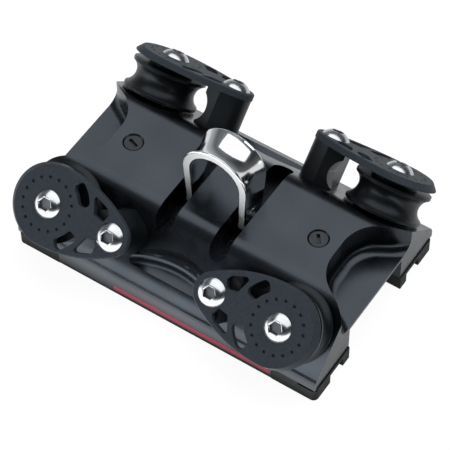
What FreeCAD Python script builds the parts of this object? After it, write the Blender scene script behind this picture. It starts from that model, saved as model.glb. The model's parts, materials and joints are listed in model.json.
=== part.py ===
import FreeCAD, Part
import math
import os

Vector = FreeCAD.Vector
Rotation = FreeCAD.Rotation
Placement = FreeCAD.Placement

# The car runs along X on a track that passes under it. Z is up, and the origin
# lies at the centre of the bottom, under the middle of the car. All sizes in mm.

# Body
body_length = 181.0
crown_height = 46.5
shoulder_height = 15.7
skirt_bottom = 2.2
crown_round = 14.0
shoulder_round = 5.0

# Track channel under the body
channel_width = 50.0
channel_height = 24.5

# Ball circuits in the two legs of the body
ball_diameter = 12.0
ball_gap = 0.2
ball_over_strip = 0.3
load_row_inset = 2.6
row_rib = 7.6
return_row_wall = 3.2
race_end_inset = 25.5
rib_edge_share = 0.6
strip_thickness = 2.2
strip_gap = 0.1
strip_edge_inset = 0.3

# Scoop cut into each end of the body
scoop_wall_inset = 23.1
scoop_floor = 26.5
scoop_flat = 10.0
scoop_nose_radius = 21.9
scoop_side_angle = 31.0
scoop_side_run = 5.25
scoop_flare_radius = 28.0
scoop_flare_angle = 59.0
scoop_fillet = 5.5

# Shallow scoop in the middle of each side
side_scoop_inset = 18.8
side_scoop_radius = 48.0
side_scoop_floor = 22.6
side_scoop_fillet = 4.0
side_scoop_ledge = 1.4
side_scoop_curve_in = 0.35
side_scoop_curve_up = 0.25

# Sheave stations on the sloping flanks
sheave_diameter = 41.0
sheave_width = 16.0
sheave_root_depth = 3.8
sheave_rim = 1.7
sheave_boss_height = 3.1
sheave_boss_inset = 8.0
sheave_end_margin = 1.5
sheave_up_slope = 22.9
post_screw_from_rim = 17.6
seat_disc_thickness = 1.0
seat_disc_radius = 14.5
side_gap = 0.25
hub_radius = 6.5
hub_running_gap = 0.05
screw_hole_gap = 0.1

# Cheek cover
cover_thickness = 3.6
cover_overhang = 0.7
cover_tip_radius = 10.2
cover_tip_angle = 57.0
cover_flank_start_angle = 93.0
cover_chamfer = 0.6
bevel_foot_height = 0.4
bevel_foot_growth = 0.6
bevel_foot_shift = 0.6
bevel_top_shrink = 0.2
bevel_top_shift = 2.6
dimple_count = 17
dimple_ring_radius = 13.8
dimple_radius = 0.85
dimple_depth = 0.9

# Windows in the cheek cover
kidney_rim_overlap = 3.2
kidney_width = 6.6
kidney_low_angle = 21.0
kidney_high_angle = 55.0
kidney_round = 2.6
corner_window_from_rim = 5.3
corner_window_round = 1.2
corner_window_corners = [(0, 6.2), (5.9, 5.1), (7.8, 9.8), (5.6, 12.6), (-1.8, 15.5), (-3.3, 14.3)]

# Post under the narrow end of each cover
post_inset = 0.4
post_back_from_rim = 10.9
post_lobe_from_rim = 5.5
post_bend_y = -0.7
post_lobe_y = 9.6
post_crown_rise = 3.6
post_crown_run = 10.4
post_corner_round = 1.5
post_groove_from_rim = 1.0
post_groove_radius = 9.5
post_groove_height = 8.5

# Button-head screws
screw_radius = 4.0
screw_head_radius = 7.5
screw_head_height = 3.9
screw_socket_across = 5.9
screw_socket_depth = 2.6
screw_depth_in_body = 12.0
screw_hole_extra = 1.0

# Bail and its pin
bail_inner_radius = 13.5
bail_thickness = 4.2
bail_leg_width = 17.0
bail_arch_width = 18.7
bail_spring_height = 63.5
bail_rim_flare = 1.5
bail_edge_round = 0.8
bail_flare_run = 8.5
bail_inner_share = 0.6
bail_least_bow = 0.05
pin_height = 35.5
pin_radius = 4.5
pin_gap = 0.05
pin_blind_wall = 4.9
pin_end_gap = 0.5
pin_start_inset = 1.5
pin_flat = 0.8
slot_inner_gap = 2.1
slot_outer_gap = 3.9
slot_half_length = 35.0
slot_floor = 26.6
lock_screw_from_blind_end = 6.5
lock_screw_radius = 4.9
lock_screw_gap = 0.1
lock_screw_sunk = 0.5
lock_slot_length = 6.0
lock_slot_width = 1.6
lock_slot_depth = 1.8
lock_ring_chamfer = 0.7
lock_slot_angle_left = -20.0
lock_slot_angle_right = -56.0

# End caps of the ball circuits
cap_reach = 0.6
cap_height = 9.4
cap_housing_end_inset = 6.0
cap_housing_roof = 0.9
cap_housing_wall = 1.0
cap_edge_inset = 0.1
cap_corner_round = 3.0
cap_recess_length = 10.0
cap_recess_depth = 2.0
cap_recess_height = 1.6
cap_notch_from_row = 3.4
cap_notch_to_row = 4.6
cap_notch_height = 6.5
cap_gap = 0.1
cap_screw_end_inset = 4.3
cap_screw_inner_shift = 2.0
cap_screw_outer_shift = 0.8
cap_screw_radius = 1.75
cap_screw_head = 3.2
cap_screw_head_height = 1.7
cap_screw_sunk = 0.3
cap_screw_inner_top = 22.5
cap_screw_outer_top = 17.0
strip_screw_spacing = 46.0
strip_screw_top = 14.0

# How far a cutting tool runs past the face it cuts
overcut = 0.5

# Values that follow
half_length = body_length / 2
channel_half = channel_width / 2
root2 = math.sqrt(2)
ball_radius = ball_diameter / 2
race_radius = ball_radius + ball_gap
ball_height = strip_thickness + ball_over_strip + ball_radius
turn_radius = race_radius + row_rib / 2
load_row_y = channel_half + load_row_inset
return_row_y = load_row_y + 2 * turn_radius
row_middle_y = (load_row_y + return_row_y) / 2
rib_edge_y = load_row_y + race_radius * rib_edge_share
half_width = return_row_y + race_radius + return_row_wall
crown_half = half_width - (crown_height - shoulder_height)
race_half_length = half_length - race_end_inset
scoop_wall_x = half_length - scoop_wall_inset
side_scoop_apex = half_width - side_scoop_inset
sheave_radius = sheave_diameter / 2
axle_x = half_length - sheave_radius - sheave_end_margin
post_spacing = sheave_radius + post_screw_from_rim
foot_y = half_width - sheave_up_slope / root2
foot_z = shoulder_height + sheave_up_slope / root2
sheave_bottom = seat_disc_thickness + side_gap
sheave_top = sheave_bottom + sheave_width
cover_bottom = sheave_top + sheave_boss_height + side_gap
cover_top = cover_bottom + cover_thickness
cover_round_radius = sheave_radius + cover_overhang
screw_hole_radius = screw_radius + screw_hole_gap
bail_outer_radius = bail_inner_radius + bail_thickness
slot_inner_x = bail_inner_radius - slot_inner_gap
slot_outer_x = bail_outer_radius + slot_outer_gap
pin_blind_end = scoop_wall_x - pin_blind_wall
pin_flat_z = pin_height + pin_radius - pin_flat
lock_screw_x = pin_blind_end - lock_screw_from_blind_end
cap_end = half_length + cap_reach
cap_housing_end = half_length - cap_housing_end_inset
cap_housing_y = return_row_y + race_radius + cap_housing_wall
cap_housing_top = ball_height + race_radius + cap_housing_roof
cap_screw_x = half_length - cap_screw_end_inset
cap_screw_inner_y = load_row_y + cap_screw_inner_shift
cap_screw_outer_y = return_row_y + cap_screw_outer_shift


def box(x0, x1, y0, y1, z0, z1):
    return Part.makeBox(x1 - x0, y1 - y0, z1 - z0, Vector(x0, y0, z0))


def cylinder(radius, start, end):
    axis = end - start
    return Part.makeCylinder(radius, axis.Length, start, axis)


def face_of(edges):
    return Part.Face(Part.Wire(edges))


def line(a, b):
    return Part.LineSegment(a, b).toShape()


def arc(a, b, c):
    return Part.Arc(a, b, c).toShape()


def mirrored_y(shape):
    return shape.mirror(Vector(), Vector(0, 1, 0))


def mirrored_x(shape):
    return shape.mirror(Vector(), Vector(1, 0, 0))


def four_ways(shape):
    """The shape at the near right, and its mirror images in the other three quarters."""
    far = mirrored_y(shape)
    return [shape, mirrored_x(shape), far, mirrored_x(far)]


def edges_where(shape, test):
    return [edge for edge in shape.Edges if test(edge)]


def station(shape, side_x, side_y):
    """Puts a piece drawn about a sheave axle on its flank.

    In the drawing frame Z is the axle, pointing out of the flank, and X runs from the
    axle to the post. side_x and side_y are the signs of the quarter of the car."""
    out = Vector(0, side_y, 1).normalize()
    along = Vector(-side_x, 0, 0)
    across = out.cross(along)
    turn = Rotation(along, across, out, "ZXY")
    foot = Vector(side_x * axle_x, side_y * foot_y, foot_z)
    placed = shape.copy()
    placed.Placement = Placement(foot, turn).multiply(shape.Placement)
    return placed


def body_section():
    """Trapezoid with 45 degree flanks and upright skirts, and the track channel under it."""
    outline = [
        Vector(0, -half_width, skirt_bottom),
        Vector(0, -half_width, shoulder_height),
        Vector(0, -crown_half, crown_height),
        Vector(0, crown_half, crown_height),
        Vector(0, half_width, shoulder_height),
        Vector(0, half_width, skirt_bottom),
        Vector(0, channel_half, skirt_bottom),
        Vector(0, channel_half, channel_height),
        Vector(0, -channel_half, channel_height),
        Vector(0, -channel_half, skirt_bottom),
        Vector(0, -half_width, skirt_bottom),
    ]
    return Part.Face(Part.makePolygon(outline))


def rounded_bar():
    bar = body_section().extrude(Vector(body_length, 0, 0))
    bar.translate(Vector(-half_length, 0, 0))

    def runs_along(edge, y, z):
        box_of = edge.BoundBox
        level = abs(box_of.ZMin - z) < 0.01 and abs(box_of.ZMax - z) < 0.01
        return level and abs(abs(box_of.YMin) - y) < 0.01 and box_of.XLength > body_length / 2

    crown_edges = edges_where(bar, lambda e: runs_along(e, crown_half, crown_height))
    bar = bar.makeFillet(crown_round, crown_edges)
    shoulder_edges = edges_where(bar, lambda e: runs_along(e, half_width, shoulder_height))
    return bar.makeFillet(shoulder_round, shoulder_edges)


def end_scoop():
    """Arch-shaped pocket that flares out to the right end of the body, with a round foot."""
    flat = scoop_flat / 2
    nose = Vector(scoop_wall_x + scoop_nose_radius, flat, scoop_floor)
    turn_angle = math.radians(scoop_side_angle)

    def on_arc(centre, radius, angle, hand):
        return centre + Vector(-hand * radius * math.sin(angle), hand * radius * math.cos(angle), 0)

    nose_end = on_arc(nose, scoop_nose_radius, turn_angle, 1)
    side = Vector(math.cos(turn_angle), math.sin(turn_angle), 0)
    side_end = nose_end + side * scoop_side_run
    flare = on_arc(side_end, scoop_flare_radius, turn_angle, 1)
    last_angle = math.radians(scoop_flare_angle)
    flare_end = on_arc(flare, scoop_flare_radius, last_angle, -1)
    steps = [
        Vector(scoop_wall_x, flat, scoop_floor),
        on_arc(nose, scoop_nose_radius, (turn_angle + math.pi / 2) / 2, 1),
        nose_end,
        side_end,
        on_arc(flare, scoop_flare_radius, (turn_angle + last_angle) / 2, -1),
        flare_end,
    ]
    twins = [Vector(p.x, -p.y, p.z) for p in steps]
    edges = [line(twins[0], steps[0])]
    for p in (steps, twins):
        edges += [arc(p[0], p[1], p[2]), line(p[2], p[3]), arc(p[3], p[4], p[5])]
    edges.append(line(steps[5], twins[5]))
    floor = Part.Face(Part.Wire(Part.__sortEdges__(edges)))
    cutter = floor.extrude(Vector(0, 0, crown_height))
    foot = edges_where(
        cutter,
        lambda e: e.BoundBox.ZMax < scoop_floor + 0.01 and e.BoundBox.XMin < flare_end.x - 0.01,
    )
    return cutter.makeFillet(scoop_fillet, foot)


def side_scoop():
    """Shallow hollow in the near flank, turned about an upright axis outside the car."""
    top = crown_height
    ledge = side_scoop_floor + side_scoop_fillet
    wall = side_scoop_radius
    foot = wall - side_scoop_ledge
    outline = face_of([
        line(Vector(0, 0, top), Vector(wall, 0, top)),
        line(Vector(wall, 0, top), Vector(wall, 0, ledge)),
        line(Vector(wall, 0, ledge), Vector(foot, 0, ledge - side_scoop_ledge / 2)),
        arc(
            Vector(foot, 0, ledge - side_scoop_ledge / 2),
            Vector(
                foot - side_scoop_fillet * side_scoop_curve_in, 0,
                side_scoop_floor + side_scoop_fillet * side_scoop_curve_up,
            ),
            Vector(foot - side_scoop_fillet, 0, side_scoop_floor),
        ),
        line(Vector(foot - side_scoop_fillet, 0, side_scoop_floor), Vector(0, 0, side_scoop_floor)),
        line(Vector(0, 0, side_scoop_floor), Vector(0, 0, top)),
    ])
    cutter = outline.revolve(Vector(), Vector(0, 0, 1), 360)
    cutter.translate(Vector(0, -side_scoop_apex - side_scoop_radius, 0))
    return cutter


def bail_slot():
    """Upright slot with round ends for the right leg of the bail."""
    half = (slot_outer_x - slot_inner_x) / 2
    middle = slot_inner_x + half
    straight = slot_half_length - half
    height = crown_height - slot_floor + 1
    slot = box(slot_inner_x, slot_outer_x, -straight, straight, slot_floor, slot_floor + height)
    for y in (-straight, straight):
        slot = slot.fuse(Part.makeCylinder(half, height, Vector(middle, y, slot_floor)))
    return slot


def cap_space():
    """Everything that the near right end cap takes out of the body."""
    under = box(
        race_half_length, half_length + 1,
        -half_width - 1, -channel_half + 1,
        -1, cap_height + cap_gap,
    )
    housing = box(
        race_half_length, cap_housing_end + cap_gap,
        -cap_housing_y - cap_gap, -channel_half + 1,
        0, cap_housing_top + cap_gap,
    )
    return under.fuse(housing)


def ball_groove(y, half):
    return cylinder(race_radius, Vector(-half, y, ball_height), Vector(half, y, ball_height))


def race_cutters():
    """Grooves in which the balls run, each open downwards to its strip."""
    cutters = []
    for side_y in (-1, 1):
        for row_y, inner, outer in (
            (load_row_y, channel_half - 1, rib_edge_y),
            (return_row_y, return_row_y - race_radius, return_row_y + race_radius),
        ):
            low, high = sorted((side_y * inner, side_y * outer))
            cutters.append(ball_groove(side_y * row_y, race_half_length + 1))
            cutters.append(box(-half_length, half_length, low, high, 0, ball_height))
    return cutters


def lock_screw_hole(x):
    radius = lock_screw_radius + lock_screw_gap
    hole = Part.makeCylinder(radius, crown_height, Vector(x, 0, pin_height))
    mouth = Part.makeCone(
        radius, radius + lock_ring_chamfer,
        lock_ring_chamfer, Vector(x, 0, crown_height - lock_ring_chamfer),
    )
    return hole.fuse(mouth)


def upright_hole(x, y, top):
    """Hole for a cap screw or a strip screw, open at the bottom."""
    return Part.makeCylinder(cap_screw_radius + cap_gap, top + cap_gap, Vector(x, y, 0))


def main_body():
    body = rounded_bar()
    scoop = end_scoop()
    side = side_scoop()
    slot = bail_slot()
    cutters = [scoop, mirrored_x(scoop), side, mirrored_y(side), slot, mirrored_x(slot)]
    cutters += four_ways(cap_space())
    cutters += race_cutters()
    pin_bore = cylinder(
        pin_radius + pin_gap,
        Vector(-half_length - 1, 0, pin_height),
        Vector(pin_blind_end, 0, pin_height),
    )
    cutters.append(pin_bore)
    cutters += [lock_screw_hole(-lock_screw_x), lock_screw_hole(lock_screw_x)]
    hole_depth = screw_depth_in_body + screw_hole_extra
    hole = Part.makeCylinder(screw_hole_radius, hole_depth + sheave_width, Vector(0, 0, -hole_depth))
    post_hole = hole.copy()
    post_hole.translate(Vector(post_spacing, 0, 0))
    for side_x in (-1, 1):
        for side_y in (-1, 1):
            cutters.append(station(hole, side_x, side_y))
            cutters.append(station(post_hole, side_x, side_y))
    cutters += [upright_hole(*place) for place in cap_screw_places()]
    cutters += [upright_hole(x, y, strip_screw_top) for x, y in strip_screw_places()]
    return body.cut(cutters).removeSplitter()


def cover_outline(inset, tip_only=False):
    """Teardrop plan of a cheek cover, taken in from its edge by inset."""
    tip = cover_tip_radius - inset
    big = cover_round_radius - inset
    leave = math.radians(cover_flank_start_angle)
    tip_angle = math.radians(cover_tip_angle)
    start = Vector(big * math.cos(leave), big * math.sin(leave), 0)
    end = Vector(post_spacing + tip * math.cos(tip_angle), tip * math.sin(tip_angle), 0)
    chord = end - start
    tangent = Vector(math.sin(leave), -math.cos(leave), 0)
    bulge = chord.Length / 2 * math.tan(chord.getAngle(tangent) / 2)
    middle = start + chord / 2 + Vector(-chord.y, chord.x, 0).normalize() * bulge
    point = Vector(post_spacing + tip, 0, 0)
    twins = [Vector(p.x, -p.y, 0) for p in (start, middle, end)]
    edges = [arc(start, middle, end), arc(end, point, twins[2]), arc(twins[2], twins[1], twins[0])]
    if tip_only:
        edges.append(line(twins[0], start))
    else:
        edges.append(arc(twins[0], Vector(-big, 0, 0), start))
    return face_of(edges)


def outer_bevel():
    """What the wide bevel takes off the round end of a cover; it fades out at the flanks."""
    foot_radius = cover_round_radius + bevel_foot_growth
    top_radius = cover_round_radius - bevel_top_shrink
    run = cover_thickness - bevel_foot_height

    def ring(height):
        share = (height - bevel_foot_height) / run
        radius = foot_radius + (top_radius - foot_radius) * share
        shift = bevel_foot_shift + (bevel_top_shift - bevel_foot_shift) * share
        return Part.Wire(Part.makeCircle(radius, Vector(shift, 0, height)))

    cone = Part.makeLoft([ring(-1), ring(cover_thickness + 1)], True, True)
    reach = 2 * cover_round_radius
    flank_start = cover_round_radius * math.cos(math.radians(cover_flank_start_angle))
    return box(-reach, flank_start, -reach, reach, -overcut, cover_thickness + overcut).cut(cone)


def kidney_window():
    """Curved slot about the axle between two radii and two angles."""
    inner = sheave_radius - kidney_rim_overlap
    outer = inner + kidney_width
    low = math.radians(kidney_low_angle)
    high = math.radians(kidney_high_angle)
    middle = (low + high) / 2

    def at(radius, angle):
        return Vector(radius * math.cos(angle), radius * math.sin(angle), -1)

    outline = face_of([
        arc(at(outer, low), at(outer, middle), at(outer, high)),
        line(at(outer, high), at(inner, high)),
        arc(at(inner, high), at(inner, middle), at(inner, low)),
        line(at(inner, low), at(outer, low)),
    ])
    return rounded_window(outline, kidney_round)


def corner_window():
    """Window between rim and post, with a straight side towards the axle."""
    near = sheave_radius + corner_window_from_rim
    outline = [Vector(near + x, y, -1) for x, y in corner_window_corners]
    outline.append(outline[0])
    return rounded_window(Part.Face(Part.makePolygon(outline)), corner_window_round)


def rounded_window(outline, radius):
    """Upright prism through the cover, with its upright corners rounded."""
    prism = outline.extrude(Vector(0, 0, cover_thickness + 2))
    upright = edges_where(prism, lambda e: e.BoundBox.ZLength > cover_thickness)
    return prism.makeFillet(radius, upright)


def cheek_cover():
    low = cover_outline(0)
    high = cover_outline(cover_chamfer)
    low.translate(Vector(0, 0, cover_thickness - cover_chamfer))
    high.translate(Vector(0, 0, cover_thickness))
    bevel = Part.makeLoft([low.OuterWire, high.OuterWire], True, True)
    plate = cover_outline(0).extrude(Vector(0, 0, cover_thickness - cover_chamfer)).fuse(bevel)
    plate = plate.cut(outer_bevel())
    kidney = kidney_window()
    corner = corner_window()
    cutters = [kidney, mirrored_y(kidney), corner, mirrored_y(corner)]
    for x in (0, post_spacing):
        cutters.append(Part.makeCylinder(screw_hole_radius, cover_thickness + 2, Vector(x, 0, -1)))
    for index in range(dimple_count):
        angle = 2 * math.pi * index / dimple_count
        place = Vector(
            dimple_ring_radius * math.cos(angle),
            dimple_ring_radius * math.sin(angle),
            cover_thickness - dimple_depth,
        )
        cutters.append(Part.makeCylinder(dimple_radius, dimple_depth + 1, place))
    plate = plate.cut(cutters)
    plate.translate(Vector(0, 0, cover_bottom))
    return plate


def spacer_post():
    """Pillar between flank and cover, drawn with +Y towards the crown.

    On the rope's side it slants forward to a lobe and is hollowed just above the flank."""
    wide = cover_round_radius
    back = sheave_radius + post_back_from_rim
    lobe = sheave_radius + post_lobe_from_rim
    end = post_spacing + cover_tip_radius
    crown_y = post_lobe_y + post_crown_rise
    plan = [
        Vector(back, -wide, 0),
        Vector(end, -wide, 0),
        Vector(end, crown_y, 0),
        Vector(lobe + post_crown_run, crown_y, 0),
        Vector(lobe, post_lobe_y, 0),
        Vector(back, post_bend_y, 0),
        Vector(back, -wide, 0),
    ]
    prism = Part.Face(Part.makePolygon(plan)).extrude(Vector(0, 0, cover_bottom))
    lobe_edge = edges_where(
        prism,
        lambda e: e.BoundBox.ZLength > cover_bottom - 0.01 and e.BoundBox.XMax < lobe + 0.01,
    )
    prism = prism.makeFillet(post_corner_round, lobe_edge)
    pillar = prism.common(cover_outline(post_inset, tip_only=True).extrude(Vector(0, 0, cover_bottom)))
    groove_x = sheave_radius + post_groove_from_rim
    groove = cylinder(
        post_groove_radius,
        Vector(groove_x, -wide, post_groove_height),
        Vector(groove_x, wide, post_groove_height),
    )
    bore = Part.makeCylinder(screw_hole_radius, cover_bottom + 2, Vector(post_spacing, 0, -1))
    return pillar.cut([groove, bore])


def sheave():
    """Grooved wheel with two rims, and a boss that runs under the cover."""
    root = sheave_radius - sheave_root_depth
    boss = sheave_radius - sheave_boss_inset
    low = sheave_bottom
    high = sheave_top
    top = high + sheave_boss_height
    bore = hub_radius + hub_running_gap
    outline = face_of([
        line(Vector(bore, 0, low), Vector(sheave_radius, 0, low)),
        line(Vector(sheave_radius, 0, low), Vector(sheave_radius, 0, low + sheave_rim)),
        arc(
            Vector(sheave_radius, 0, low + sheave_rim),
            Vector(root, 0, (low + high) / 2),
            Vector(sheave_radius, 0, high - sheave_rim),
        ),
        line(Vector(sheave_radius, 0, high - sheave_rim), Vector(sheave_radius, 0, high)),
        line(Vector(sheave_radius, 0, high), Vector(boss, 0, high)),
        line(Vector(boss, 0, high), Vector(boss, 0, top)),
        line(Vector(boss, 0, top), Vector(bore, 0, top)),
        line(Vector(bore, 0, top), Vector(bore, 0, low)),
    ])
    return outline.revolve(Vector(), Vector(0, 0, 1), 360)


def sheave_hub():
    """Sleeve clamped between flank and cover, on which the sheave turns."""
    sleeve = Part.makeCylinder(hub_radius, cover_bottom)
    return sleeve.cut(Part.makeCylinder(screw_hole_radius, cover_bottom + 2, Vector(0, 0, -1)))


def seat_disc():
    disc = Part.makeCylinder(seat_disc_radius, seat_disc_thickness)
    bore_radius = hub_radius + screw_hole_gap
    return disc.cut(Part.makeCylinder(bore_radius, seat_disc_thickness + 2, Vector(0, 0, -1)))


def button_screw(reach):
    """Domed screw with a hexagon socket; reach is its length below the head."""
    dome_radius = (screw_head_radius ** 2 + screw_head_height ** 2) / (2 * screw_head_height)
    crown_reach = math.sqrt(dome_radius ** 2 - (dome_radius - screw_head_height / 2) ** 2)
    profile = face_of([
        line(Vector(0, 0, 0), Vector(screw_head_radius, 0, 0)),
        arc(
            Vector(screw_head_radius, 0, 0),
            Vector(crown_reach, 0, screw_head_height / 2),
            Vector(0, 0, screw_head_height),
        ),
        line(Vector(0, 0, screw_head_height), Vector(0, 0, 0)),
    ])
    head = profile.revolve(Vector(), Vector(0, 0, 1), 360)
    shank = Part.makeCylinder(screw_radius, reach, Vector(0, 0, -reach))
    corner = screw_socket_across / math.sqrt(3)
    hexagon = [
        Vector(
            corner * math.cos(math.radians(60 * step)),
            corner * math.sin(math.radians(60 * step)),
            screw_head_height - screw_socket_depth,
        )
        for step in range(7)
    ]
    socket = Part.Face(Part.makePolygon(hexagon)).extrude(Vector(0, 0, screw_socket_depth + 1))
    screw = head.fuse(shank).cut(socket)
    screw.translate(Vector(0, 0, cover_top))
    return screw


def bail_section(width, flare, height):
    """Level section of the right leg; the rims stand out by flare from the middle of the strap."""
    half = width / 2
    r = bail_edge_round
    cut_corner = r * (1 - math.sqrt(0.5))
    inside = bail_inner_radius + flare * bail_inner_share
    outside = bail_outer_radius + flare
    inner_middle = bail_inner_radius - max(flare, bail_least_bow) * (1 - bail_inner_share)
    outer_middle = bail_outer_radius - max(flare, bail_least_bow) * (1 - bail_inner_share)

    def at(x, y):
        return Vector(x, y, height)

    return Part.Wire([
        line(at(inside + r, -half), at(outside - r, -half)),
        arc(at(outside - r, -half), at(outside - cut_corner, -half + cut_corner), at(outside, -half + r)),
        arc(at(outside, -half + r), at(outer_middle, 0), at(outside, half - r)),
        arc(at(outside, half - r), at(outside - cut_corner, half - cut_corner), at(outside - r, half)),
        line(at(outside - r, half), at(inside + r, half)),
        arc(at(inside + r, half), at(inside + cut_corner, half - cut_corner), at(inside, half - r)),
        arc(at(inside, half - r), at(inner_middle, 0), at(inside, -half + r)),
        arc(at(inside, -half + r), at(inside + cut_corner, -half + cut_corner), at(inside + r, -half)),
    ])


def bail():
    """Strap bent over in an arch, its rims flared outwards, with an eye in each leg."""
    lower = bail_spring_height - bail_flare_run
    wide = bail_section(bail_arch_width, bail_rim_flare, bail_spring_height)
    plain = bail_section(bail_leg_width, 0, lower)
    arch = Part.Face(wide).revolve(Vector(0, 0, bail_spring_height), Vector(0, -1, 0), 180)
    taper = Part.makeLoft([plain, wide], True, True)
    shank = Part.Face(plain).extrude(Vector(0, 0, pin_height - lower))
    eye_start = Vector(bail_inner_radius, 0, pin_height)
    eye = cylinder(bail_leg_width / 2, eye_start, eye_start + Vector(bail_thickness, 0, 0))
    leg = taper.fuse([shank, eye])
    strap = arch.fuse([leg, mirrored_x(leg)])
    reach = slot_outer_x
    bore = cylinder(pin_radius + pin_gap, Vector(-reach, 0, pin_height), Vector(reach, 0, pin_height))
    return strap.cut(bore).removeSplitter()


def bail_pin():
    start = Vector(-scoop_wall_x + pin_start_inset, 0, pin_height)
    pin = cylinder(pin_radius, start, Vector(pin_blind_end - pin_end_gap, 0, pin_height))
    for x in (-lock_screw_x, lock_screw_x):
        reach = lock_screw_radius + pin_end_gap
        pin = pin.cut(box(x - reach, x + reach, -pin_radius, pin_radius, pin_flat_z, crown_height))
    return pin


def lock_screw(x, slot_angle):
    """Slotted screw that presses on the flat of the bail pin."""
    top = crown_height - lock_screw_sunk
    plug = Part.makeCylinder(lock_screw_radius, top - pin_flat_z, Vector(0, 0, pin_flat_z))
    half = lock_slot_length / 2
    slot = box(-half, half, -lock_slot_width / 2, lock_slot_width / 2, top - lock_slot_depth, top + 1)
    plug = plug.cut(slot)
    plug.rotate(Vector(), Vector(0, 0, 1), slot_angle)
    plug.translate(Vector(x, 0, 0))
    return plug


def countersunk_screw(x, y, top):
    """Flat-headed screw driven upwards from the bottom of the car."""
    start = Vector(x, y, cap_screw_sunk)
    shank = Part.makeCylinder(cap_screw_radius, top - cap_screw_sunk, start)
    return shank.fuse(Part.makeCone(cap_screw_head, cap_screw_radius, cap_screw_head_height, start))


def countersink(x, y):
    wide = cap_screw_head + cap_gap
    narrow = cap_screw_radius + cap_gap
    head = Part.makeCone(wide, narrow, cap_screw_head_height, Vector(x, y, cap_screw_sunk))
    mouth = Part.makeCylinder(wide, 1 + cap_screw_sunk, Vector(x, y, -1))
    shank = Part.makeCylinder(narrow, half_width, Vector(x, y, 0))
    return head.fuse([mouth, shank])


def cap_screw_places():
    places = []
    for side_x in (-1, 1):
        for side_y in (-1, 1):
            places.append((side_x * cap_screw_x, side_y * cap_screw_inner_y, cap_screw_inner_top))
            places.append((side_x * cap_screw_x, side_y * cap_screw_outer_y, cap_screw_outer_top))
    return places


def strip_screw_places():
    steps = (-strip_screw_spacing, 0, strip_screw_spacing)
    return [(x, side_y * row_middle_y) for side_y in (-1, 1) for x in steps]


def race_strip(side_y):
    """Strip under one leg of the body: it closes the races and holds the load row of balls."""
    half = race_half_length - strip_gap
    outer = half_width - strip_edge_inset
    rib = rib_edge_y - strip_gap
    plate = box(-half, half, -outer, -channel_half, 0, strip_thickness - strip_gap)
    lip = box(-half, half, -rib, -channel_half, 0, ball_height - ball_gap)
    strip = plate.fuse(lip).cut(ball_groove(-load_row_y, half + 1))
    if side_y > 0:
        strip = mirrored_y(strip)
    holes = [countersink(x, y) for x, y in strip_screw_places() if y * side_y > 0]
    return strip.cut(holes).removeSplitter()


def turn_channel():
    """Half ring through which the balls pass from the load row to the return row."""
    centre = Vector(race_half_length, -row_middle_y, ball_height)
    ring = Part.makeTorus(turn_radius, race_radius, centre)
    return ring.common(box(race_half_length - overcut, half_length, -half_width, 0, -1, crown_height))


def return_cap():
    """Moulded cap at the near right corner: it turns the balls round from row to row."""
    start = race_half_length + strip_gap
    outer = half_width - cap_edge_inset
    slab = box(start, cap_end, -outer, -channel_half, 0, cap_height)
    corner = edges_where(
        slab,
        lambda e: e.BoundBox.XMin > cap_end - 0.01 and e.BoundBox.YMax < -outer + 0.01,
    )
    slab = slab.makeFillet(cap_corner_round, corner)
    housing = box(start, cap_housing_end, -cap_housing_y, -channel_half, 0, cap_housing_top)
    cap = slab.fuse(housing).removeSplitter()
    notch = box(
        cap_housing_end, cap_end + 1,
        cap_notch_to_row - return_row_y, -load_row_y - cap_notch_from_row,
        -1, cap_notch_height,
    )
    recess = box(
        half_length - cap_recess_length, cap_end + 1,
        -half_width, -outer + cap_recess_depth,
        cap_height - cap_recess_height, cap_height + 1,
    )
    holes = [
        countersink(cap_screw_x, -cap_screw_inner_y),
        countersink(cap_screw_x, -cap_screw_outer_y),
    ]
    return cap.cut([turn_channel(), notch, recess] + holes)


def bearing_balls(side_y):
    """Closed circuit of balls: load row, turn, return row, turn."""
    straight = 2 * race_half_length
    half_turn = math.pi * turn_radius
    total = 2 * (straight + half_turn)
    pitch = 2 * turn_radius * math.asin((ball_diameter + ball_gap) / (2 * turn_radius))
    count = int(total / pitch)
    balls = []
    for index in range(count):
        way = total * (index + 0.5) / count
        if way < straight:
            x, y = -race_half_length + way, load_row_y
        elif way < straight + half_turn:
            angle = (way - straight) / turn_radius
            x = race_half_length + turn_radius * math.sin(angle)
            y = row_middle_y - turn_radius * math.cos(angle)
        elif way < 2 * straight + half_turn:
            x, y = race_half_length - (way - straight - half_turn), return_row_y
        else:
            angle = (way - 2 * straight - half_turn) / turn_radius
            x = -race_half_length - turn_radius * math.sin(angle)
            y = row_middle_y + turn_radius * math.cos(angle)
        balls.append(Part.makeSphere(ball_radius, Vector(x, side_y * y, ball_height)))
    return Part.makeCompound(balls)


def shifted(shape, x):
    moved = shape.copy()
    moved.translate(Vector(x, 0, 0))
    return moved


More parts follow.
